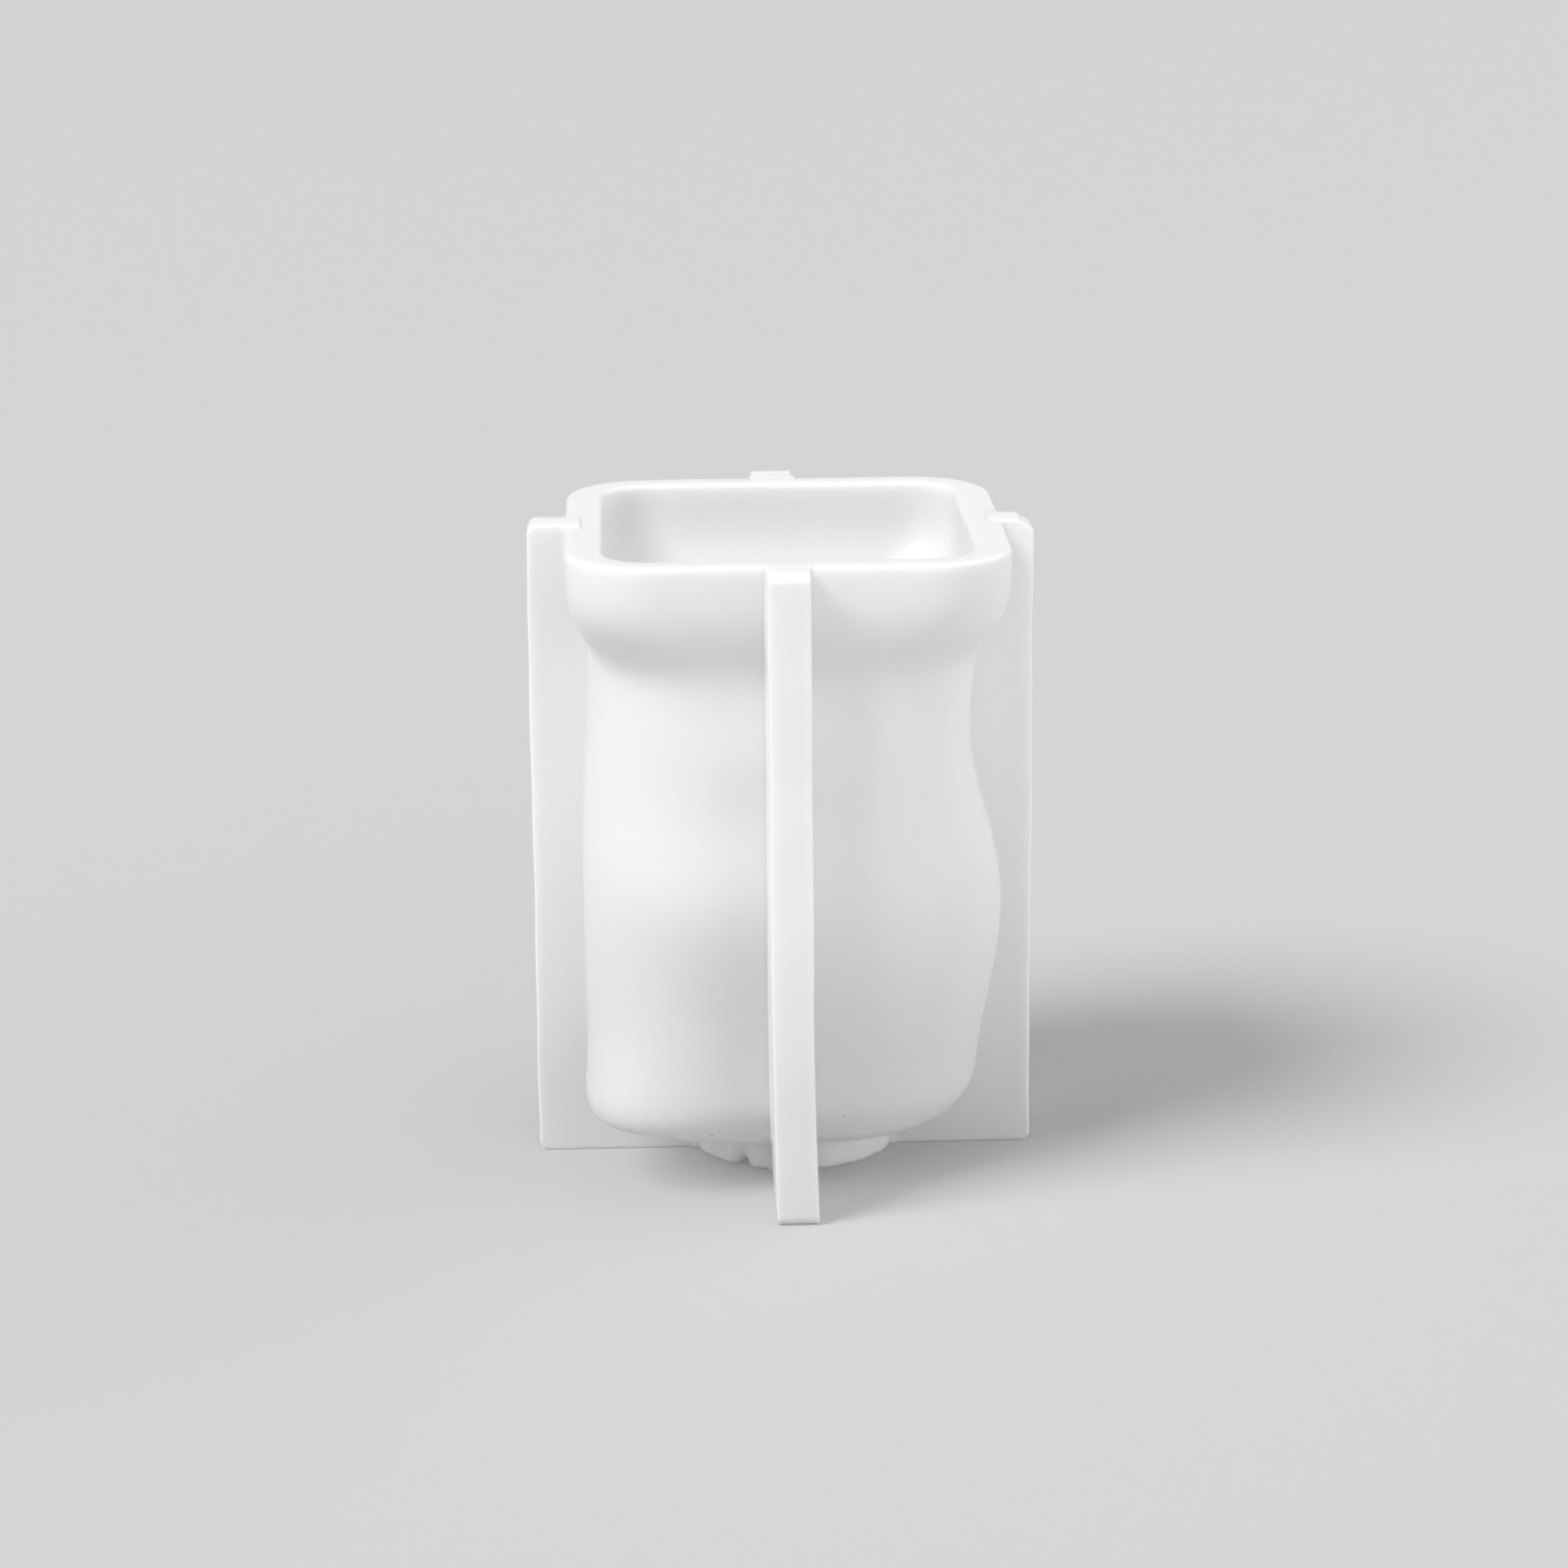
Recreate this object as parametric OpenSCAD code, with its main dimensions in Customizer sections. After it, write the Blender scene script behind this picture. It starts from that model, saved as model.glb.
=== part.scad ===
// Free-standing silicone casting mould: a wavy rounded-square cavity with a wide
// pouring collar, a round foot cup and four fins that stiffen it and carry it.
// Origin: centre of the footprint, on the table. +Z up, -Y is the front. Millimetres.

/* [Overall] */
// Height from the table to the rim plane
mold_h = 105; // [100:1:112]
// Distance across two opposite fins
span = 81; // [79:0.5:88]

/* [Collar] */
// Outer width of the collar, the same both ways
collar_w = 69.6; // [67:0.2:71]
// Outer corner radius of the collar
collar_corner_r = 14; // [11:0.5:17]
// Width of the mouth, left to right
mouth_w = 58; // [56:0.2:60]
// Depth of the mouth, front to back
mouth_d = 59.4; // [57:0.2:60.4]
// Corner radius of the mouth
mouth_corner_r = 8.5; // [6:0.5:11]
// Height of the straight collar wall
collar_straight = 2.8; // [2:0.2:6]
// Height over which the collar curves in to the body
collar_curve = 13.8; // [11:0.2:16]

/* [Body] */
// Width of the body just under the collar
neck_w = 60.8; // [60:0.2:63]
// Width of the body near its base
base_w = 60; // [59:0.2:63]
// Outer corner radius of the body under the collar
neck_corner_r = 18; // [15:0.5:20]
// Outer corner radius of the body near its base
base_corner_r = 21.5; // [18:0.5:22]
// Wall thickness of the cavity
wall = 5; // [4:0.25:6]
// Strength of the waves in the body's sides
wave = 1; // [0:0.1:1.2]

/* [Base] */
// Height of the body's underside above the table
underside_z = 7.5; // [7:0.5:10]
// Thickness of the cavity floor
floor_t = 5; // [4:0.5:6]
// Radius of the body's rounded bottom edge
base_round = 9; // [8:0.5:10]

/* [Foot cup] */
// Outer diameter of the foot cup
cup_d = 33.8; // [31:0.2:36]
// Diameter of the neck cavity inside the cup
cup_bore_d = 23.8; // [21:0.2:25]
// Thickness of the closed bottom of the cup
cup_floor = 4.5; // [4:0.25:5]
// Fillet between the cup and the body's underside
cup_fillet = 4; // [3:0.25:4.5]

/* [Fins] */
// Thickness of each fin
fin_t = 6.5; // [5.5:0.25:7.5]
// Radius of the fins' outer corners
fin_corner_r = 1.6; // [1:0.2:3]

/* [Hidden] */
$fn = 96;

milky = [0.95, 0.95, 0.95];
milky_fin = [0.89, 0.90, 0.93];

flat = fin_t / 2;               // half-width of the flat strip that each fin stands on
collar_z = mold_h - collar_straight;    // where the straight collar wall ends
neck_z = collar_z - collar_curve;       // crease between the collar and the body
side_z = underside_z + base_round;      // where the side starts to round under
floor_z = underside_z + floor_t;        // top of the cavity floor
floor_round = 5;                // radius between the cavity wall and its floor
wave_rise = 4;                  // height above the underside over which the waves set in
cavity_z = floor_z + floor_round;       // where the cavity wall starts to round in
plate_gap = 2;                  // from the rounded edge of the cavity floor to its plate
plate_half = base_w / 2 - wall - floor_round - plate_gap;   // half-width of that plate
plate_corner_r = 12;            // its corner radius
neck_edge_r = 1.2;              // bevel where the cavity floor drops into the neck
mouth_lip = 0.8;                // bevel of the mouth's inner edge
curl_power = 2.8;               // how late and tight the collar curves in
fade_power = 0.7;               // how fast the waves fade above the crease
tuck_corner = 0.6;              // share of a rounded bottom edge that its corner radius loses
cup_edge = 0.8;                 // bevel around the bottom of the foot cup
cup_round = 2;                  // radius between the neck cavity and its closed bottom
fin_inset = 2;                  // how far a fin's outline starts inside the cup's wall

line_steps = 3;                 // stations along half of a straight side
arc_steps = 8;                  // stations around a corner
quadrant_n = 2 * line_steps + arc_steps + 1;
ring_n = 4 * quadrant_n;
curve_steps = 8;                // rings in the collar's curve
round_steps = 7;                // rings in a rounded bottom edge
fillet_steps = 6;               // steps of a fillet on the foot cup
corner_steps = 4;               // steps of a fin's outer corner
body_steps = 26;                // rings in the body

// Swells of the body: [compass angle, height, reach outwards, angle spread, height spread].
// Angle 0 is the right side (+X), 90 the back, 180 the left and 270 the front.
swells = [
    [350, 44, 4.4, 38, 21],
    [345, 71, -2.0, 40, 15],
    [190, 25, 1.7, 40, 18],
    [200, 53, 2.5, 40, 24],
    [222, 10, 6.5, 24, 12],
    [262, 74, 0.8, 20, 8],
    [252, 50, 1.7, 34, 11],
    [258, 22, -2.2, 26, 17],
    [300, 70, 0.9, 30, 14],
    [300, 20, -1.8, 34, 16],
    [120, 62, 2.0, 34, 16],
    [100, 30, -1.6, 36, 14],
    [60, 36, 2.2, 36, 15],
    [45, 66, -1.2, 34, 12],
    [135, 14, 2.0, 34, 14],
];

function turn(angle) = (angle + 900) % 360 - 180;
function mix(a, b, t) = a + (b - a) * t;
function total(v, i = 0) = i < len(v) ? v[i] + total(v, i + 1) : 0;

function swell(angle, z) = wave * total([
    for (s = swells) s[2] * exp(-pow(turn(angle - s[0]) / s[3], 2) - pow((z - s[1]) / s[4], 2))
]);

// The waves belong to the body: they fade out in the collar and over the given rise from a
// flat bottom.
function fade(z, bottom, rise) = z > neck_z
    ? max(0, 1 - pow((z - neck_z) / collar_curve, fade_power))
    : min(1, max(0, (z - bottom) / rise));

// Share of the collar's curve that is used up at height z: 0 at the wall, 1 at the crease.
function curl(z) = pow(min(1, max(0, (collar_z - z) / collar_curve)), curl_power);

// How far a rounded bottom edge of radius r, which starts at height top, has come in at z.
function tuck(z, top, r) = z >= top ? 0 : r - sqrt(max(0, r * r - pow(top - z, 2)));

// A value that runs from the body's base to its neck.
function up_body(z, base, neck) = mix(base, neck, (max(z, side_z) - side_z) / (neck_z - side_z));

function outer_half(z) = z > neck_z
    ? mix(collar_w, neck_w, curl(z)) / 2
    : up_body(z, base_w, neck_w) / 2 - tuck(z, side_z, base_round);
function outer_corner(z) = z > neck_z
    ? mix(collar_corner_r, neck_corner_r, curl(z))
    : up_body(z, base_corner_r, neck_corner_r) - tuck_corner * tuck(z, side_z, base_round);

// The cavity follows the outside at the wall's thickness and opens into the mouth.
function cavity_half(z, mouth) = z > neck_z
    ? mix(mouth / 2, neck_w / 2 - wall, curl(z))
    : up_body(z, base_w, neck_w) / 2 - wall - tuck(z, cavity_z, floor_round);
function cavity_corner(z) = z > neck_z
    ? mix(mouth_corner_r, neck_corner_r - wall, curl(z))
    : up_body(z, base_corner_r, neck_corner_r) - wall - tuck_corner * tuck(z, cavity_z, floor_round);

// One quadrant of a ring in its own axes: a straight, a corner arc and a straight. Each entry
// is [along this side's axis, along the next side's axis, direction of the outward normal].
function quadrant(a, b, r) = concat(
    [for (k = [0 : line_steps - 1]) [a, mix(flat, b - r, k / line_steps), 0]],
    [for (k = [0 : arc_steps]) let (t = 90 * k / arc_steps)
        [a - r + r * cos(t), b - r + r * sin(t), t]],
    [for (k = [1 : line_steps]) [mix(a - r, flat, k / line_steps), b, 90]]);

// A closed ring at height z, half-sizes a (X) and b (Y), corner radius r, waves times amount.
function ring(z, a, b, r, amount) = [
    for (q = [0 : 3], p = quadrant(q % 2 == 0 ? a : b, q % 2 == 0 ? b : a, r))
        let (reach = amount * swell(90 * q + atan2(p[1] - flat, p[0] - flat), z),
             u = p[0] + reach * cos(p[2]), v = p[1] + reach * sin(p[2]))
        [u * cos(90 * q) - v * sin(90 * q), u * sin(90 * q) + v * cos(90 * q), z]
];

function outer_fade(z) = fade(z, underside_z, wave_rise);
function outer_ring(z) = ring(z, outer_half(z), outer_half(z), outer_corner(z), outer_fade(z));
function cavity_ring(z) = ring(z, cavity_half(z, mouth_w), cavity_half(z, mouth_d),
                               cavity_corner(z), fade(z, floor_z, floor_round));
function plate_ring(z) = ring(z, plate_half, plate_half, plate_corner_r, 0);
function circle_ring(z, r) = [
    for (q = [0 : 3], k = [0 : quadrant_n - 1])
        let (t = 90 * (q + (k + 0.5) / quadrant_n)) [r * cos(t), r * sin(t), z]
];

// Heights from top to bottom at which the rings lie. A quarter round is stepped by angle.
collar_levels = [for (k = [0 : curve_steps]) collar_z - collar_curve * k / curve_steps];
function round_levels(top, r) = [for (k = [1 : round_steps]) top - r * sin(90 * k / round_steps)];
outer_levels = concat([for (k = [0 : body_steps]) mix(neck_z, side_z, k / body_steps)],
                      round_levels(side_z, base_round));
cavity_levels = concat([for (k = [0 : body_steps]) mix(neck_z, cavity_z, k / body_steps)],
                       round_levels(cavity_z, floor_round));

function reversed(v) = [for (i = [len(v) - 1 : -1 : 0]) v[i]];

// A closed band: each ring is joined to the next one, and the last to the first.
module band(rings) {
    n = len(rings);
    polyhedron(
        points = [for (r = rings) each r],
        faces = [for (i = [0 : n - 1], k = [0 : ring_n - 1])
            let (j = (i + 1) % n, m = (k + 1) % ring_n,
                 a = i * ring_n + k, b = i * ring_n + m, c = j * ring_n + m, d = j * ring_n + k)
            each [[a, d, c], [a, c, b]]],
        convexity = 8);
}

// Pouring collar: a flat rim, a straight wall and the curve down to the body's crease.
module rim_collar() {
    color(milky) band(concat(
        [outer_ring(mold_h)],
        [for (z = collar_levels) outer_ring(z)],
        [for (z = reversed(collar_levels)) cavity_ring(z)],
        [cavity_ring(mold_h - mouth_lip),
         ring(mold_h, mouth_w / 2 + mouth_lip, mouth_d / 2 + mouth_lip,
              mouth_corner_r + mouth_lip, 0)]));
}

// Wavy wall around the cavity, rounded under at the bottom.
module cavity_body() {
    color(milky) band(concat(
        [for (z = outer_levels) outer_ring(z)],
        [plate_ring(underside_z), plate_ring(floor_z)],
        [for (z = reversed(cavity_levels)) cavity_ring(z)]));
}

// Plate in the cavity floor, with the hole into the neck.
module cavity_floor() {
    bore_r = cup_bore_d / 2;
    color(milky) band([
        plate_ring(underside_z),
        circle_ring(underside_z, bore_r),
        circle_ring(floor_z - neck_edge_r, bore_r),
        circle_ring(floor_z, bore_r + neck_edge_r),
        plate_ring(floor_z)]);
}

// Outside of the foot cup, which the fins are cut back to.
module cup_outside() {
    r = cup_d / 2;
    rotate_extrude() polygon(concat(
        [[0, 0], [r - cup_edge, 0], [r, cup_edge]],
        [for (k = [0 : fillet_steps]) let (t = 90 * k / fillet_steps)
            [r + cup_fillet * (1 - cos(t)), underside_z - cup_fillet * (1 - sin(t))]],
        [[0, underside_z]]));
}

// Round foot cup with the closed end of the cavity inside it.
module foot_cup() {
    bore_r = cup_bore_d / 2;
    color(milky) difference() {
        cup_outside();
        rotate_extrude() polygon(concat(
            [[0, underside_z + 1], [bore_r, underside_z + 1]],
            [for (k = [0 : fillet_steps]) let (t = 90 * k / fillet_steps)
                [bore_r - cup_round * (1 - cos(t)), cup_floor + cup_round * (1 - sin(t))]],
            [[0, cup_floor]]));
    }
}

// Outline of the fin on the side at this compass angle: its distance from the axis and height.
// The inner edge follows the mould's side, ring by ring.
function side_edge(angle) = [
    for (z = concat([mold_h], collar_levels, [for (k = [1 : len(outer_levels) - 1]) outer_levels[k]]))
        [outer_half(z) + outer_fade(z) * swell(angle, z), z]
];
function fin_corner(z, start) = [
    for (k = [0 : corner_steps]) let (t = start + 90 * k / corner_steps)
        [span / 2 - fin_corner_r * (1 - cos(t)), z + fin_corner_r * sin(t)]
];
function fin_outline(angle) = concat(
    side_edge(angle),
    [for (z = [underside_z, 0]) [cup_d / 2 - fin_inset, z]],
    fin_corner(fin_corner_r, -90),
    fin_corner(mold_h - fin_corner_r, 0));

module fin(angle) {
    color(milky_fin) difference() {
        rotate([0, 0, angle]) rotate([90, 0, 0])
            linear_extrude(fin_t, center = true) polygon(fin_outline(angle));
        cup_outside();
    }
}

module right_fin() { fin(0); }
module back_fin() { fin(90); }
module left_fin() { fin(180); }
module front_fin() { fin(270); }

rim_collar();
cavity_body();
cavity_floor();
foot_cup();
front_fin();
right_fin();
back_fin();
left_fin();
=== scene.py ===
import math

import bpy
import numpy as np
from mathutils import Matrix, Vector


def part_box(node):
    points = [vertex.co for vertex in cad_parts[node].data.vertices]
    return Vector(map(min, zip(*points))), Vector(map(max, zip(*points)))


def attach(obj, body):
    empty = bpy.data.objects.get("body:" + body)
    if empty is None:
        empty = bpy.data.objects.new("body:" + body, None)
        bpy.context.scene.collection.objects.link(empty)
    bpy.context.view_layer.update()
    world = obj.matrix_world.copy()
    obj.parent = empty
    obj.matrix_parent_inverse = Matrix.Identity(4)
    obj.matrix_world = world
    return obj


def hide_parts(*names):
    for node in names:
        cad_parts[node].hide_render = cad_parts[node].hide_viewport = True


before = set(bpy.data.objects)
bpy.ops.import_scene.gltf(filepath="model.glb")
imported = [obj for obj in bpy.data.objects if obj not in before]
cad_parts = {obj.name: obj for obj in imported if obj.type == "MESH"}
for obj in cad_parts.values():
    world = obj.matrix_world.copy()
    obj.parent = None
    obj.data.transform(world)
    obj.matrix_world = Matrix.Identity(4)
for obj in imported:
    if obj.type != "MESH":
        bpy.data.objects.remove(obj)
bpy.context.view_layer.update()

# Milky silicone casting mould. The collar, the wavy body and its floor are one continuous skin, as
# on the real moulding; the foot cup and the four fins are pieces of their own. Lengths are in
# millimetres until a mesh is made, as in the design.
MM = 0.001
ROOT = "root"


def node_box(name):
    """Lowest and highest corner of a node, in millimetres."""
    lo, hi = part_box(name)
    return np.array(lo) / MM, np.array(hi) / MM


# Sizes read from the frame.
collar_lo, collar_hi = node_box("rim_collar")
plate_lo, plate_hi = node_box("cavity_floor")
cup_lo, cup_hi = node_box("foot_cup")
right_lo, right_hi = node_box("right_fin")
MOLD_H = collar_hi[2]
COLLAR_W = collar_hi[0] - collar_lo[0]
NECK_Z = collar_lo[2]
UNDERSIDE_Z, FLOOR_Z = plate_lo[2], plate_hi[2]
PLATE_HALF = plate_hi[0]
SPAN_HALF = right_hi[0]
FIN_T = right_hi[1] - right_lo[1]
FLAT = FIN_T / 2

# The rest of the design's dimensions.
COLLAR_CURVE = 13.8
COLLAR_Z = NECK_Z + COLLAR_CURVE
MOUTH_W, MOUTH_D = 58, 59.4
NECK_W, BASE_W = 60.8, 60
COLLAR_CORNER, MOUTH_CORNER = 14, 8.5
NECK_CORNER, BASE_CORNER, PLATE_CORNER = 18, 21.5, 12
WALL, BASE_ROUND, FLOOR_ROUND = 5, 9, 5
WAVE_RISE = 4                  # height above the underside over which the waves set in
SIDE_Z = UNDERSIDE_Z + BASE_ROUND
CAVITY_Z = FLOOR_Z + FLOOR_ROUND
CURL_POWER, FADE_POWER, TUCK_CORNER = 2.8, 0.7, 0.6
CUP_FILLET, CUP_FLOOR, CUP_ROUND, CUP_EDGE = 4, 4.5, 2, 0.8
CUP_R = cup_hi[0] - CUP_FILLET
BORE_R, BORE_BEVEL = 11.9, 1.2

# What the hand-cast piece adds: the cavity and the cup sit a little off the fins' centre.
BODY_SHIFT = np.array([0.6, 0.0])
CUP_SHIFT = np.array([1.5, 1.3])
RIM_EDGE = 0.75                # rounding of the rim's edges
RIM_WAVE = 0.12                # unevenness of the poured rim
RIM_CROWN = 0.05               # how much the rim's top is crowned
CREASE_SOFT = 1.5              # how softly the collar turns into the body

# Swells of the body: compass angle, height, reach outwards, angle spread, height spread.
SWELLS = np.array([
    (350, 44, 4.4, 38, 21), (345, 71, -2.0, 40, 15),
    (190, 25, 1.7, 40, 18), (200, 53, 2.5, 40, 24), (222, 10, 6.5, 24, 12),
    (262, 74, 0.8, 20, 8), (252, 50, 1.7, 34, 11), (258, 22, -2.2, 26, 17),
    (300, 70, 0.9, 30, 14), (300, 20, -1.8, 34, 16), (120, 62, 2.0, 34, 16),
    (100, 30, -1.6, 36, 14), (60, 36, 2.2, 36, 15), (45, 66, -1.2, 34, 12),
    (135, 14, 2.0, 34, 14)])

LINE_STEPS, ARC_STEPS = 9, 14  # stations along half of a straight side and around a corner


# ---- The mould's form, the same rules as the design with finer steps --------------------------

def clamp(v, low=0.0, high=1.0):
    return min(high, max(low, v))


def mix(a, b, t):
    return a + (b - a) * t


def swell(angle, z):
    """How far the waves push the side outwards at these compass angles and height z."""
    turn = (np.asarray(angle, float)[..., None] - SWELLS[:, 0] + 900) % 360 - 180
    rise = z - SWELLS[:, 1]
    bells = np.exp(-(turn / SWELLS[:, 3]) ** 2 - (rise / SWELLS[:, 4]) ** 2)
    return (SWELLS[:, 2] * bells).sum(-1)


def fade(z, bottom, rise):
    """Share of the waves at height z: none in the collar and none at a flat bottom."""
    up = max(0.0, 1 - ((eased(z) - NECK_Z) / COLLAR_CURVE) ** FADE_POWER)
    return min(up, clamp((z - bottom) / rise))


def curl(z):
    return clamp((COLLAR_Z - z) / COLLAR_CURVE) ** CURL_POWER


def tuck(z, top, r):
    return 0.0 if z >= top else r - math.sqrt(max(0.0, r * r - (top - z) ** 2))


def up_body(z, base, neck):
    return mix(base, neck, (max(z, SIDE_Z) - SIDE_Z) / (NECK_Z - SIDE_Z))


def eased(z):
    """Height z, kept from passing below the crease by a smooth turn, so that the crease is soft."""
    return NECK_Z + CREASE_SOFT * math.log1p(math.exp((z - NECK_Z) / CREASE_SOFT))


def outer_half(z):
    flare = (COLLAR_W - NECK_W) / 2 * (1 - curl(eased(z)))
    side = up_body(min(z, NECK_Z), BASE_W, NECK_W) / 2
    return side + flare - tuck(z, SIDE_Z, BASE_ROUND)


def outer_corner(z):
    open_up = (COLLAR_CORNER - NECK_CORNER) * (1 - curl(eased(z)))
    side = up_body(min(z, NECK_Z), BASE_CORNER, NECK_CORNER)
    return side + open_up - TUCK_CORNER * tuck(z, SIDE_Z, BASE_ROUND)


def cavity_half(z, mouth):
    if z > NECK_Z:
        return mix(mouth / 2, NECK_W / 2 - WALL, curl(z))
    return up_body(z, BASE_W, NECK_W) / 2 - WALL - tuck(z, CAVITY_Z, FLOOR_ROUND)


def cavity_corner(z):
    if z > NECK_Z:
        return mix(MOUTH_CORNER, NECK_CORNER - WALL, curl(z))
    inset = TUCK_CORNER * tuck(z, CAVITY_Z, FLOOR_ROUND)
    return up_body(z, BASE_CORNER, NECK_CORNER) - WALL - inset


def quadrant(a, b, r):
    """A straight, a corner arc and a straight: along this side, along the next, normal angle."""
    rows = [(a, mix(FLAT, b - r, k / LINE_STEPS), 0) for k in range(LINE_STEPS)]
    for k in range(ARC_STEPS + 1):
        t = 90 * k / ARC_STEPS
        rows.append((a - r + r * math.cos(math.radians(t)),
                     b - r + r * math.sin(math.radians(t)), t))
    rows += [(mix(a - r, FLAT, k / LINE_STEPS), b, 90) for k in range(1, LINE_STEPS + 1)]
    return np.array(rows)


def ring(z, a, b, r, amount=0.0, shift=BODY_SHIFT, lift=0.0):
    """A closed ring of points at height z: half-sizes a and b, corner radius r, waves by amount."""
    out = []
    for q in range(4):
        p = quadrant(a, b, r) if q % 2 == 0 else quadrant(b, a, r)
        angle = 90 * q + np.degrees(np.arctan2(p[:, 1] - FLAT, p[:, 0] - FLAT))
        normal = np.radians(p[:, 2])
        reach = amount * swell(angle, z)
        u, v = p[:, 0] + reach * np.cos(normal), p[:, 1] + reach * np.sin(normal)
        c, s = math.cos(math.radians(90 * q)), math.sin(math.radians(90 * q))
        up = z + lift * rim_ripple(np.radians(90 * q) + np.arctan2(v, u))
        out.append(np.stack([u * c - v * s + shift[0], u * s + v * c + shift[1], up], 1))
    return np.concatenate(out)


def rim_ripple(angle):
    """Unevenness of the free-poured rim, from -1 to 1."""
    return 0.5 * np.sin(3 * angle + 0.7) + 0.3 * np.sin(7 * angle + 2.1) + 0.2 * np.sin(17 * angle)


def outer_ring(z):
    half = outer_half(z)
    return ring(z, half, half, outer_corner(z), fade(z, UNDERSIDE_Z, WAVE_RISE))


def cavity_ring(z):
    return ring(z, cavity_half(z, MOUTH_W), cavity_half(z, MOUTH_D), cavity_corner(z),
                fade(z, FLOOR_Z, FLOOR_ROUND))


def plate_ring(z):
    return ring(z, PLATE_HALF, PLATE_HALF, PLATE_CORNER)


def bore_ring(z, r):
    """A circle of radius r whose points lie on the rays of the floor plate's points."""
    rays = plate_ring(z)[:, :2] - BODY_SHIFT
    rays = rays / np.hypot(rays[:, 0], rays[:, 1])[:, None]
    return np.concatenate([r * rays + BODY_SHIFT, np.full((len(rays), 1), z)], 1)


def circle_ring(z, r, count, shift=BODY_SHIFT):
    t = np.radians(np.arange(count) * 360 / count + 180 / count)
    return np.stack([r * np.cos(t) + shift[0], r * np.sin(t) + shift[1], np.full(count, z)], 1)


def round_levels(top, r, steps=12):
    """Heights down a quarter round of radius r that starts at top."""
    return [top - r * math.sin(math.radians(90 * k / steps)) for k in range(1, steps + 1)]


# ---- Meshes ------------------------------------------------------------------------------------

def make_piece(name, points, faces, nodes, material, sharp=math.radians(40)):
    """Turns points in millimetres and faces into a piece that stands for its CAD nodes."""
    mesh = bpy.data.meshes.new(name)
    mesh.from_pydata((np.asarray(points) * MM).tolist(), [], faces)
    mesh.validate()
    mesh.polygons.foreach_set("use_smooth", [True] * len(mesh.polygons))
    mesh.set_sharp_from_angle(angle=sharp)
    piece = bpy.data.objects.new(name, mesh)
    bpy.context.collection.objects.link(piece)
    piece.data.materials.append(material)
    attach(piece, ROOT)
    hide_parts(*nodes)
    return piece


def band(rings):
    """Faces of a closed band: each ring joins the next one, and the last joins the first."""
    n, m = len(rings), len(rings[0])
    faces = []
    for i in range(n):
        j = (i + 1) % n
        for k in range(m):
            l = (k + 1) % m
            faces.append((i * m + k, j * m + k, j * m + l, i * m + l))
    return np.concatenate(rings), faces


def stack(rings, first=None, last=None):
    """Faces of a pile of rings, closed at each end by a fan to its middle point."""
    m = len(rings[0])
    points = np.concatenate(rings)
    faces = []
    for i in range(len(rings) - 1):
        for k in range(m):
            l = (k + 1) % m
            faces.append((i * m + k, i * m + l, (i + 1) * m + l, (i + 1) * m + k))
    low, high = len(points), len(points) + 1
    points = np.concatenate([points, [first], [last]])
    end = (len(rings) - 1) * m
    for k in range(m):
        l = (k + 1) % m
        faces.append((low, l, k))
        faces.append((high, end + k, end + l))
    return points, faces


def rim_edge(k, steps=5):
    """Sine and cosine of a step around a rounded edge."""
    t = math.radians(90 * k / steps)
    return math.sin(t), math.cos(t)


def vessel(material):
    """Collar, body and cavity floor: one closed skin from the foot's bore out, up, over and in."""
    curve = [NECK_Z + COLLAR_CURVE * k / 44 for k in range(1, 45)]
    side = [mix(SIDE_Z, NECK_Z, k / 110) for k in range(111)]
    wall = [mix(CAVITY_Z, NECK_Z, k / 110) for k in range(111)]
    rings = [bore_ring(UNDERSIDE_Z, BORE_R), plate_ring(UNDERSIDE_Z)]
    rings += [outer_ring(z) for z in reversed(round_levels(SIDE_Z, BASE_ROUND))]
    rings += [outer_ring(z) for z in side + curve + [COLLAR_Z + 1]]
    for k in range(6):                                    # outer edge of the rim, up to its top
        sine, cosine = rim_edge(k)
        inset = RIM_EDGE * (1 - cosine)
        half = COLLAR_W / 2 - inset
        rings.append(ring(MOLD_H - RIM_EDGE * (1 - sine), half, half, COLLAR_CORNER - inset,
                          lift=RIM_WAVE))
    inner = np.array([MOUTH_W / 2 + RIM_EDGE, MOUTH_D / 2 + RIM_EDGE, MOUTH_CORNER + RIM_EDGE])
    outer = np.array([COLLAR_W / 2 - RIM_EDGE] * 2 + [COLLAR_CORNER - RIM_EDGE])
    for share in (0.8, 0.6, 0.4, 0.2):                    # the top, slightly crowned
        a, b, r = mix(inner, outer, share)
        rings.append(ring(MOLD_H + RIM_CROWN * 4 * share * (1 - share), a, b, r, lift=RIM_WAVE))
    for k in range(5, -1, -1):                            # inner edge of the rim
        sine, cosine = rim_edge(k)
        grow = RIM_EDGE * (1 - cosine)
        rings.append(ring(MOLD_H - RIM_EDGE * (1 - sine), MOUTH_W / 2 + grow,
                          MOUTH_D / 2 + grow, MOUTH_CORNER + grow, lift=RIM_WAVE))
    rings += [cavity_ring(z) for z in [COLLAR_Z + 1] + curve[::-1] + wall[::-1]]
    rings += [cavity_ring(z) for z in round_levels(CAVITY_Z, FLOOR_ROUND)]
    rings.append(plate_ring(FLOOR_Z))
    for k in range(6, -1, -1):                            # the floor drops into the foot's bore
        sine, cosine = rim_edge(k, 6)
        rings.append(bore_ring(FLOOR_Z - BORE_BEVEL * (1 - sine), BORE_R + BORE_BEVEL * (1 - cosine)))
    points, faces = band(rings)
    return make_piece("milky_vessel", points, faces, ("rim_collar", "cavity_body", "cavity_floor"),
                      material)


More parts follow.
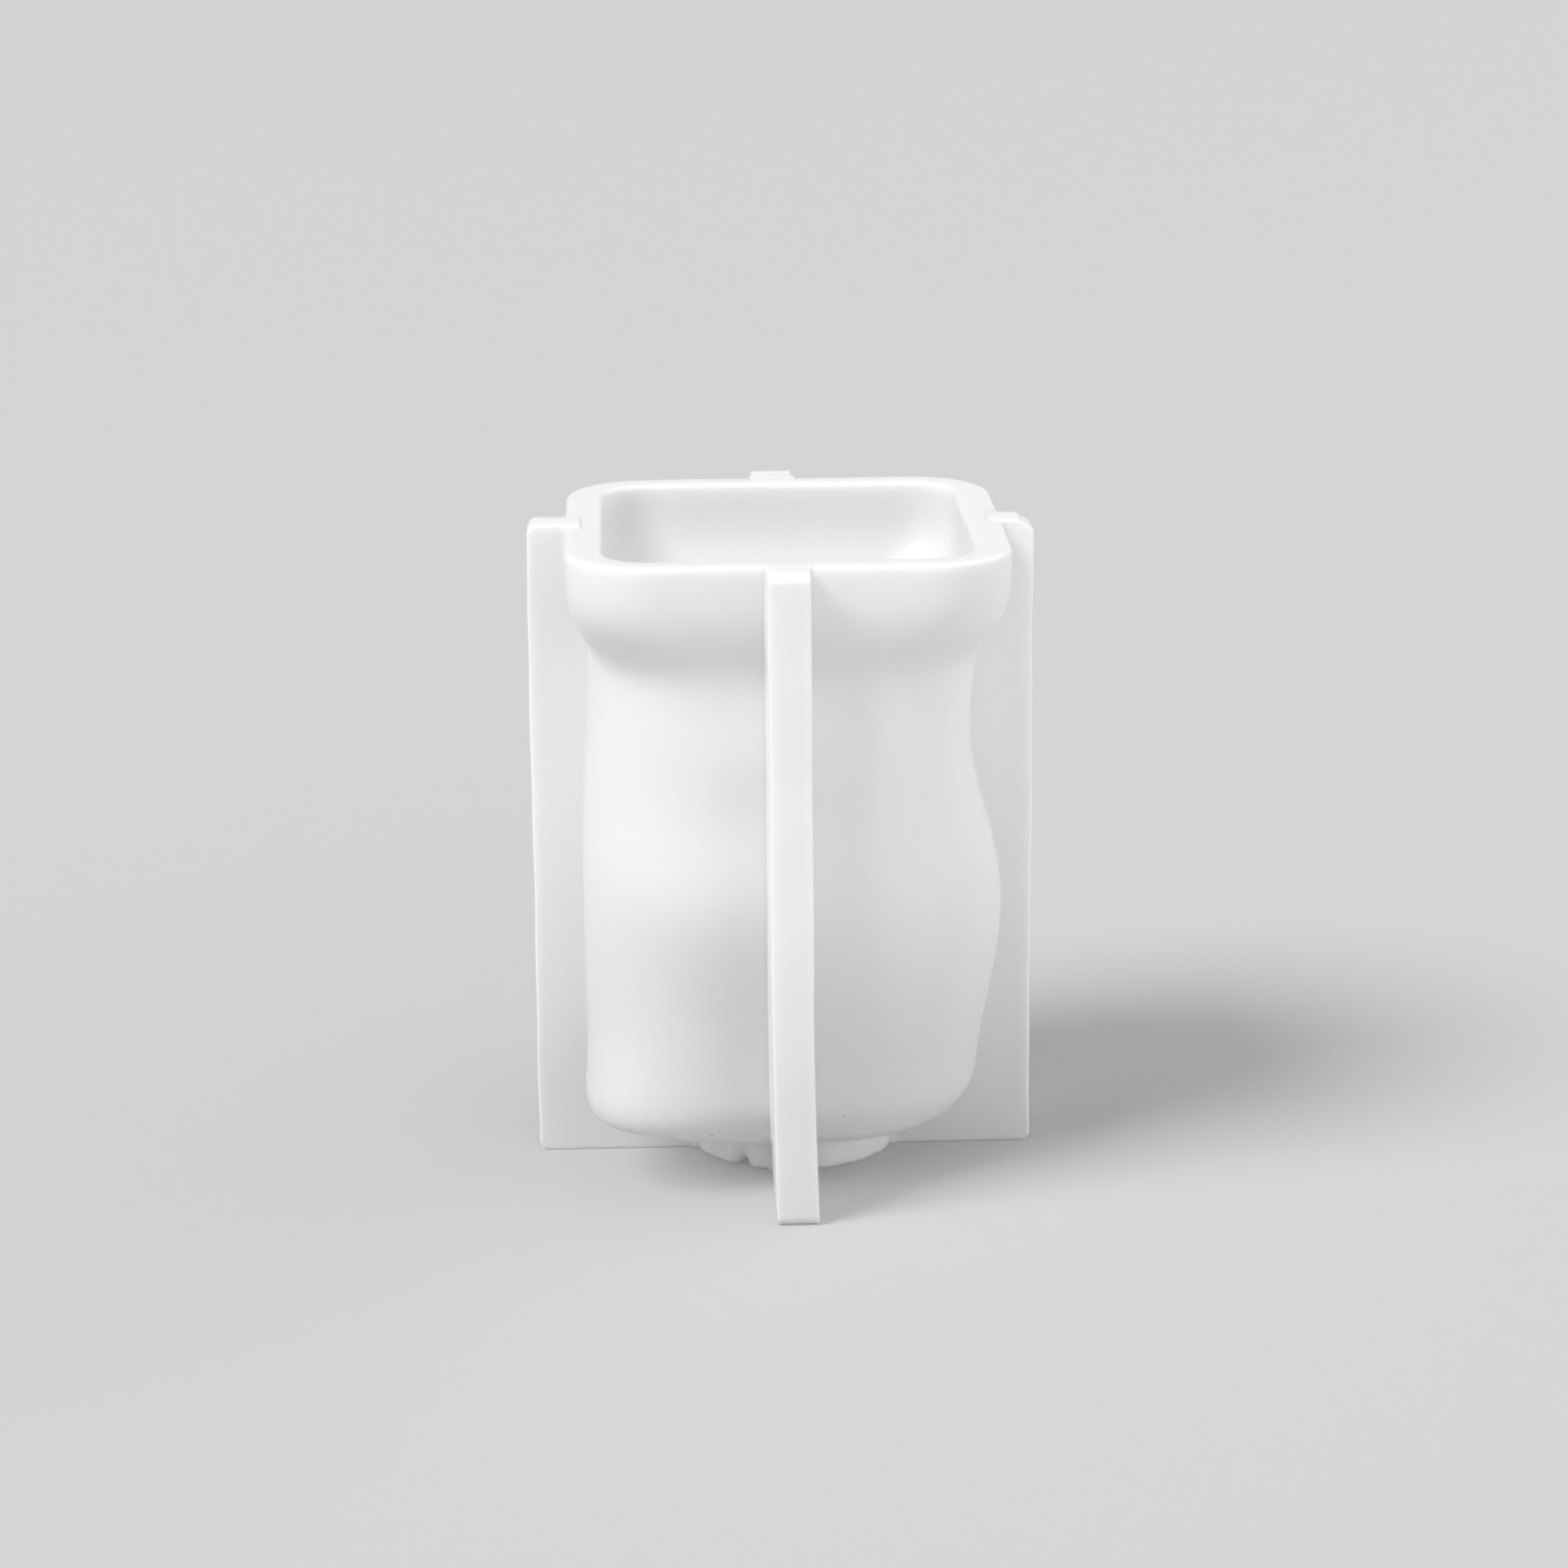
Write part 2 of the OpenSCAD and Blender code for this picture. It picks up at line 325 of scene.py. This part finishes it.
def foot_cup(material):
    count = 144
    outline = [(CUP_R - CUP_EDGE * (1 - math.sin(math.radians(t))),
                CUP_EDGE * (1 - math.cos(math.radians(t)))) for t in (0, 22, 45, 67, 90)]
    outline += [(CUP_R, z) for z in (1.4, 2.1, 2.8)]
    outline += [(CUP_R + CUP_FILLET * (1 - math.cos(math.radians(t))),
                 UNDERSIDE_Z - CUP_FILLET * (1 - math.sin(math.radians(t))))
                for t in range(0, 91, 15)]
    outline += [(BORE_R, UNDERSIDE_Z)]
    outline += [(BORE_R - CUP_ROUND * (1 - math.cos(math.radians(t))),
                 CUP_FLOOR + CUP_ROUND * (1 - math.sin(math.radians(t))))
                for t in range(0, 91, 15)]
    rings = []
    for r, z in outline:
        inside = r <= BORE_R
        rings.append(circle_ring(z, r, count, BODY_SHIFT if inside else CUP_SHIFT))
    top = np.array([BODY_SHIFT[0], BODY_SHIFT[1], CUP_FLOOR])
    points, faces = stack(rings, np.array([CUP_SHIFT[0], CUP_SHIFT[1], 0.0]), top)
    piece = wear_cup(points)
    return make_piece("milky_foot_cup", piece, faces, ("foot_cup",), material)


def wear_cup(points):
    """The torn nick and the small blister at the front-left edge of the cup."""
    points = points.copy()
    flat = points[:, :2] - CUP_SHIFT
    angle = np.degrees(np.arctan2(flat[:, 1], flat[:, 0])) % 360
    radius = np.hypot(flat[:, 0], flat[:, 1])
    outside = radius > CUP_R - 2
    low = points[:, 2] < UNDERSIDE_Z - CUP_FILLET + 1
    torn = np.exp(-((angle - 238) / 4.5) ** 2) * (0.7 + 0.3 * np.sin(angle * 1.9))
    pull = 1.5 * torn * outside * low * np.exp(-(points[:, 2] / 2.6) ** 2)
    blister = np.exp(-((angle - 231) / 2.2) ** 2 - ((points[:, 2] - 3.2) / 0.9) ** 2) * outside
    rough = 0.12 * np.sin(angle * 0.31) + 0.08 * np.sin(angle * 0.77 + 1)
    scale = 1 + (0.8 * blister - pull + rough * outside) / np.maximum(radius, 1)
    points[:, :2] = CUP_SHIFT + flat * scale[:, None]
    points[:, 2] += 0.9 * torn * outside * low * (points[:, 2] < CUP_EDGE)
    return points


def fin(name, angle, material, top=0.0, top_r=1.6, foot_r=1.6, lean=None, worn=None, seed=0):
    """One fin: closed loops piled up from the table to the rim, rounded at its free edges."""
    d = np.array([math.cos(math.radians(angle)), math.sin(math.radians(angle))])
    side = np.array([-d[1], d[0]])
    high = MOLD_H + top
    edge, flare, flare_run, embed = 0.32, 0.6, 1.2, 2.0
    rng = np.random.default_rng(seed)
    phase = rng.uniform(0, 2 * math.pi, 8)

    def inner(z):
        if z < UNDERSIDE_Z + 0.4:
            return CUP_R + float(CUP_SHIFT @ d) - 0.3
        z = min(z, MOLD_H - 0.01)
        return (outer_half(z) + fade(z, UNDERSIDE_Z, WAVE_RISE) * float(swell(angle, z))
                + float(BODY_SHIFT @ d))

    def outline(z):
        out = SPAN_HALF
        if z > high - top_r:
            out -= top_r - math.sqrt(max(0, top_r ** 2 - (z - high + top_r) ** 2))
        if z < foot_r:
            out -= foot_r - math.sqrt(max(0, foot_r ** 2 - (foot_r - z) ** 2))
        if worn and z > high - worn[1]:
            out = min(out, SPAN_HALF - worn[0] * (z - high + worn[1]) / worn[1]
                      + 0.12 * math.sin(9 * z) + 0.08 * math.sin(23 * z))
        out += 0.07 * math.sin(z / 9 + phase[0]) + 0.05 * math.sin(z / 3.1 + phase[1])
        return min(out, SPAN_HALF + 0.1)

    def inset_at(z):
        near = min(z, high - z)
        return 0.0 if near >= edge else edge - math.sqrt(max(0, edge ** 2 - (edge - near) ** 2))

    steps = 120
    ends = [edge * (1 - math.cos(math.radians(t))) for t in (0, 18, 36, 54, 72, 90)]
    rounds = [0.8, 1.1, 1.45, 1.8]
    middle = list(np.linspace(2.2, high - 2.2, steps))
    extra = [UNDERSIDE_Z + 0.35, UNDERSIDE_Z + 0.45]
    levels = sorted(ends + rounds + middle + extra + [high - e for e in ends + rounds])
    loops = []
    for z in levels:
        inset = inset_at(z)
        root, out = inner(z) - 0.25, outline(z) - inset
        half = FLAT - inset + 0.05 * math.sin(z / 7 + phase[2])
        bend = 0.10 * math.sin(z / 26 + phase[3])
        if lean and z < lean[1]:
            bend += lean[0] * (1 - z / lean[1]) ** 1.6
        r = max(edge - inset, 0.04)
        rows = [(root - embed, half + flare)]
        rows += [(root + flare_run * k / 6, half + flare * (1 - k / 6) ** 2) for k in range(7)]
        straight = np.linspace(root + flare_run, out - r, 7)[1:]
        rows += [(u, half) for u in straight]
        for k in range(1, 6):
            t = math.radians(90 - 90 * k / 5)
            rows.append((out - r + r * math.cos(t), half - r + r * math.sin(t)))
        rows = np.array(rows)
        left = np.stack([rows[:, 0], rows[:, 1]], 1)
        right = np.stack([rows[:, 0], -rows[:, 1]], 1)[::-1]
        both = np.concatenate([left, right])
        swing = np.clip((both[:, 0] - root) / 5, 0, 1) if not lean else 1.0
        xy = both[:, :1] * d + (both[:, 1:] + (bend * swing)[:, None] if not lean
                                else both[:, 1:] + bend) * side
        loops.append(np.concatenate([xy, np.full((len(xy), 1), z)], 1))
    m = len(loops[0])
    faces = []
    for i in range(len(loops) - 1):
        for k in range(m):
            l = (k + 1) % m
            faces.append((i * m + k, (i + 1) * m + k, (i + 1) * m + l, i * m + l))
    end = (len(loops) - 1) * m
    for k in range(m // 2 - 1):                           # quad strips close both ends
        faces.append((k, k + 1, m - 2 - k, m - 1 - k))
        faces.append((end + k, end + m - 1 - k, end + m - 2 - k, end + k + 1))
    return make_piece("milky_" + name, np.concatenate(loops), faces, (name,), material)


# ---- Materials ---------------------------------------------------------------------------------

BOUNCE_THROUGH = 0.9           # bounced light that goes on through the rubber, as a share of direct
PAINTED_SHADE_TOP = 0.062          # painted shade: below this height the colour is painted darker towards the bottom
LIT_BASE = (0.017, 0.027)      # between these heights the base's own share of light fades out


def silicone(name, colour, depth, through, base_through, painted_base_shade):
    """Milky silicone: light scatters inside it; fine pits, faint clouds, a few dust specks, and
    painted shade that darkens its colour towards the base.
    Through and base_through are the shares of light that go on through it, above and at the base;
    painted_base_shade is the colour's share left at the base."""
    material = bpy.data.materials.new(name)
    material.use_nodes = True
    nodes, links = material.node_tree.nodes, material.node_tree.links
    nodes.clear()
    out = nodes.new("ShaderNodeOutputMaterial")
    shader = nodes.new("ShaderNodeBsdfPrincipled")
    shader.subsurface_method = "RANDOM_WALK"
    shader.inputs["Roughness"].default_value = 0.42
    shader.inputs["IOR"].default_value = 1.41
    shader.inputs["Specular IOR Level"].default_value = 0.5
    shader.inputs["Subsurface Weight"].default_value = 1.0
    shader.inputs["Subsurface Radius"].default_value = (1.0, 0.99, 0.98)
    shader.inputs["Sheen Weight"].default_value = 0.18
    shader.inputs["Sheen Roughness"].default_value = 0.55
    shader.inputs["Subsurface Scale"].default_value = depth * MM
    place = nodes.new("ShaderNodeTexCoord")

    cloud = nodes.new("ShaderNodeTexNoise")               # faint unevenness of the cure
    cloud.inputs["Scale"].default_value = 90
    cloud.inputs["Detail"].default_value = 3
    tone = nodes.new("ShaderNodeMapRange")
    tone.inputs["To Min"].default_value = 0.985
    tone.inputs["To Max"].default_value = 1.01
    tint = nodes.new("ShaderNodeMix")
    tint.data_type = "RGBA"
    tint.blend_type = "MULTIPLY"
    tint.inputs["Factor"].default_value = 1.0
    tint.inputs["A"].default_value = (*colour, 1)
    height = nodes.new("ShaderNodeSeparateXYZ")
    # painted shade: the colour is darker towards the bottom, where less light reaches
    painted_shade = nodes.new("ShaderNodeMapRange")
    painted_shade.interpolation_type = "SMOOTHSTEP"
    painted_shade.inputs["From Max"].default_value = PAINTED_SHADE_TOP
    painted_shade.inputs["To Min"].default_value = painted_base_shade
    tone_and_painted_shade = nodes.new("ShaderNodeMath")
    tone_and_painted_shade.operation = "MULTIPLY"

    cells = nodes.new("ShaderNodeTexVoronoi")             # dust specks, in a few cells only
    cells.inputs["Scale"].default_value = 95
    small = nodes.new("ShaderNodeMath")
    small.operation = "LESS_THAN"
    small.inputs[1].default_value = 0.028
    pick = nodes.new("ShaderNodeSeparateColor")
    rare = nodes.new("ShaderNodeMath")
    rare.operation = "GREATER_THAN"
    rare.inputs[1].default_value = 0.8
    both = nodes.new("ShaderNodeMath")
    both.operation = "MULTIPLY"
    amount = nodes.new("ShaderNodeMath")
    amount.operation = "MULTIPLY"
    amount.inputs[1].default_value = 0.5
    dusty = nodes.new("ShaderNodeMix")
    dusty.data_type = "RGBA"
    dusty.inputs["B"].default_value = (0.22, 0.21, 0.20, 1)

    grain = nodes.new("ShaderNodeTexNoise")               # the mould master's fine satin surface
    grain.inputs["Scale"].default_value = 1400
    grain.inputs["Detail"].default_value = 4
    pits = nodes.new("ShaderNodeTexVoronoi")              # pin-prick casting pits
    pits.feature = "SMOOTH_F1"
    pits.inputs["Scale"].default_value = 420
    pit = nodes.new("ShaderNodeMapRange")
    pit.inputs["From Max"].default_value = 0.16
    drag = nodes.new("ShaderNodeTexNoise")                # slow ripples of the flowing rubber
    drag.inputs["Scale"].default_value = 160
    drag.inputs["Detail"].default_value = 2
    heights = nodes.new("ShaderNodeMath")
    heights.operation = "MULTIPLY_ADD"
    heights.inputs[1].default_value = 0.35
    relief = nodes.new("ShaderNodeMath")
    relief.operation = "MULTIPLY_ADD"
    relief.inputs[1].default_value = 0.5
    bump = nodes.new("ShaderNodeBump")
    bump.inputs["Strength"].default_value = 0.35
    bump.inputs["Distance"].default_value = 0.00012

    for texture in (cloud, cells, grain, pits, drag):
        links.new(place.outputs["Object"], texture.inputs["Vector"])
    links.new(cloud.outputs["Fac"], tone.inputs["Value"])
    links.new(place.outputs["Object"], height.inputs["Vector"])
    links.new(height.outputs["Z"], painted_shade.inputs["Value"])
    links.new(tone.outputs["Result"], tone_and_painted_shade.inputs[0])
    links.new(painted_shade.outputs["Result"], tone_and_painted_shade.inputs[1])
    links.new(tone_and_painted_shade.outputs[0], tint.inputs["B"])
    links.new(cells.outputs["Distance"], small.inputs[0])
    links.new(cells.outputs["Color"], pick.inputs["Color"])
    links.new(pick.outputs["Red"], rare.inputs[0])
    links.new(small.outputs[0], both.inputs[0])
    links.new(rare.outputs[0], both.inputs[1])
    links.new(both.outputs[0], amount.inputs[0])
    links.new(amount.outputs[0], dusty.inputs["Factor"])
    links.new(tint.outputs["Result"], dusty.inputs["A"])
    links.new(dusty.outputs["Result"], shader.inputs["Base Color"])
    links.new(grain.outputs["Fac"], heights.inputs[0])
    links.new(pits.outputs["Distance"], pit.inputs["Value"])
    links.new(pit.outputs["Result"], heights.inputs[2])
    links.new(drag.outputs["Fac"], relief.inputs[0])
    links.new(heights.outputs[0], relief.inputs[2])
    links.new(relief.outputs[0], bump.inputs["Height"])
    links.new(bump.outputs["Normal"], shader.inputs["Normal"])

    path = nodes.new("ShaderNodeLightPath")               # some light goes on through the rubber
    which = nodes.new("ShaderNodeMath")
    which.operation = "MULTIPLY_ADD"
    which.inputs[1].default_value = BOUNCE_THROUGH
    level = nodes.new("ShaderNodeMapRange")
    level.inputs["From Min"].default_value = LIT_BASE[0]
    level.inputs["From Max"].default_value = LIT_BASE[1]
    level.inputs["To Min"].default_value = base_through
    level.inputs["To Max"].default_value = through
    share = nodes.new("ShaderNodeMath")
    share.operation = "MULTIPLY"
    clear = nodes.new("ShaderNodeBsdfTransparent")
    blend = nodes.new("ShaderNodeMixShader")
    links.new(path.outputs["Is Diffuse Ray"], which.inputs[0])
    links.new(path.outputs["Is Shadow Ray"], which.inputs[2])
    links.new(height.outputs["Z"], level.inputs["Value"])
    links.new(which.outputs[0], share.inputs[0])
    links.new(level.outputs["Result"], share.inputs[1])
    links.new(share.outputs[0], blend.inputs["Fac"])
    links.new(shader.outputs["BSDF"], blend.inputs[1])
    links.new(clear.outputs["BSDF"], blend.inputs[2])
    links.new(blend.outputs["Shader"], out.inputs["Surface"])
    return material


# ---- Studio ------------------------------------------------------------------------------------

FLOOR_COLOUR = 0.595
FLOOR_BOUNCE = 0.55            # its colour for the light that it gives the mould from close by: painted shade
FLOOR_SEEN = 0.665             # how bright the lit floor looks; the backdrop is given the same
AMBIENT = 0.36
SHADE_INNER, SHADE_OUTER = 0.03, 0.15   # radii between which the bounce light grows to its full
# Soft lights: irradiance, degrees in front of the side, degrees above the table, softness.
KEY = (2.35, 30, 49, 26)
FILL = (0.72, 60, 20, 70)
EDGE_LIGHT = (1.2, -12, 15, 80)


def soft_light(name, energy, heading, height, softness, from_right=False):
    lamp = bpy.data.lights.new(name, "SUN")
    lamp.energy = energy
    lamp.angle = math.radians(softness)
    heading, height = math.radians(heading), math.radians(height)
    towards = Vector((-math.cos(heading) * math.cos(height),
                      -math.sin(heading) * math.cos(height), math.sin(height)))
    if from_right:
        towards.x = -towards.x
    holder = bpy.data.objects.new(name, lamp)
    holder.rotation_euler = towards.to_track_quat("Z", "Y").to_euler()
    bpy.context.collection.objects.link(holder)


def floor_material():
    """Plain pale paper as seen. Its colour for the light that bounces onto the mould is painted
    darker close to the mould: painted shade.
    """
    paper = bpy.data.materials.new("studio_paper")
    paper.use_nodes = True
    nodes, links = paper.node_tree.nodes, paper.node_tree.links
    shader = nodes["Principled BSDF"]
    shader.inputs["Roughness"].default_value = 0.75
    shader.inputs["Specular IOR Level"].default_value = 0.1
    place = nodes.new("ShaderNodeTexCoord")
    length = nodes.new("ShaderNodeVectorMath")
    length.operation = "LENGTH"
    # painted shade: the floor's colour for bounced light darkens close to the mould
    ramp = nodes.new("ShaderNodeMapRange")
    ramp.inputs["From Min"].default_value = SHADE_INNER
    ramp.inputs["From Max"].default_value = SHADE_OUTER
    ramp.inputs["To Min"].default_value = FLOOR_BOUNCE
    ramp.inputs["To Max"].default_value = FLOOR_COLOUR
    path = nodes.new("ShaderNodeLightPath")
    choose = nodes.new("ShaderNodeMix")
    choose.data_type = "RGBA"
    choose.inputs["B"].default_value = (FLOOR_COLOUR, FLOOR_COLOUR, FLOOR_COLOUR * 1.003, 1)
    links.new(place.outputs["Object"], length.inputs[0])
    links.new(length.outputs["Value"], ramp.inputs["Value"])
    links.new(ramp.outputs["Result"], choose.inputs["A"])
    links.new(path.outputs["Is Camera Ray"], choose.inputs["Factor"])
    links.new(choose.outputs["Result"], shader.inputs["Base Color"])
    return paper


def studio():
    mesh = bpy.data.meshes.new("studio_floor")
    reach = 6.0
    mesh.from_pydata([(-reach, -reach, 0), (reach, -reach, 0), (reach, reach, 0),
                      (-reach, reach, 0)], [], [(0, 1, 2, 3)])
    floor = bpy.data.objects.new("studio_floor", mesh)
    bpy.context.collection.objects.link(floor)
    mesh.materials.append(floor_material())

    world = bpy.data.worlds.new("soft_studio")
    world.use_nodes = True
    nodes, links = world.node_tree.nodes, world.node_tree.links
    sky = nodes["Background"]
    sky.inputs["Color"].default_value = (1, 1, 1, 1)
    path = nodes.new("ShaderNodeLightPath")
    level = nodes.new("ShaderNodeMapRange")
    level.inputs["To Min"].default_value = AMBIENT
    level.inputs["To Max"].default_value = FLOOR_SEEN
    links.new(path.outputs["Is Camera Ray"], level.inputs["Value"])
    links.new(level.outputs["Result"], sky.inputs["Strength"])
    bpy.context.scene.world = world
    soft_light("key_softbox", *KEY)
    soft_light("front_fill", *FILL, from_right=True)
    soft_light("edge_light", *EDGE_LIGHT, from_right=True)


def camera():
    azimuth, elevation, distance = math.radians(-2.109), math.radians(16.063), 0.6998
    middle = Vector((0, 0, MOLD_H * MM / 2))
    aim = Vector((0.00051, 0.0023, 0.06054))
    away = Vector((math.sin(azimuth) * math.cos(elevation),
                   -math.cos(azimuth) * math.cos(elevation), math.sin(elevation)))
    lens = bpy.data.cameras.new("photo_camera")
    lens.lens = 98.4
    lens.sensor_width = 36
    lens.clip_end = 50
    eye = bpy.data.objects.new("photo_camera", lens)
    eye.location = middle + distance * away
    look = (eye.location - aim).to_track_quat("Z", "Y").to_matrix().to_4x4()
    roll = Matrix.Rotation(math.radians(-0.432), 4, "Z")
    eye.rotation_euler = (look @ roll).to_euler()
    bpy.context.collection.objects.link(eye)
    bpy.context.scene.camera = eye
    bpy.context.scene.view_settings.view_transform = "Standard"


camera()
studio()
body_rubber = silicone("milky_silicone", (0.862, 0.861, 0.859), depth=2.2, through=0.4,
                       base_through=0.8, painted_base_shade=0.8)
# painted light: the cup's rubber is a lighter copy of the body's rubber, with less painted shade at
# its base, to lighten the cup in the shade under the body
cup_rubber_painted_light = silicone("cup_silicone_painted_light", (0.88, 0.88, 0.875), depth=2.2, through=0.75,
                      base_through=0.75, painted_base_shade=0.96)
# painted light: the fins' rubber is a lighter copy of the body's rubber
fin_rubber_painted_light = silicone("fin_silicone", (0.90, 0.905, 0.915), depth=1.0, through=0.5,
                      base_through=0.5, painted_base_shade=0.85)
vessel(body_rubber)
foot_cup(cup_rubber_painted_light)
fin("front_fin", 270, fin_rubber_painted_light, top=0.06, lean=(0.8, 38), seed=1)
fin("right_fin", 0, fin_rubber_painted_light, top=0.15, worn=(2.6, 1.5), seed=2)
fin("back_fin", 90, fin_rubber_painted_light, top=0.3, seed=3)
fin("left_fin", 180, fin_rubber_painted_light, top=0.4, seed=4)
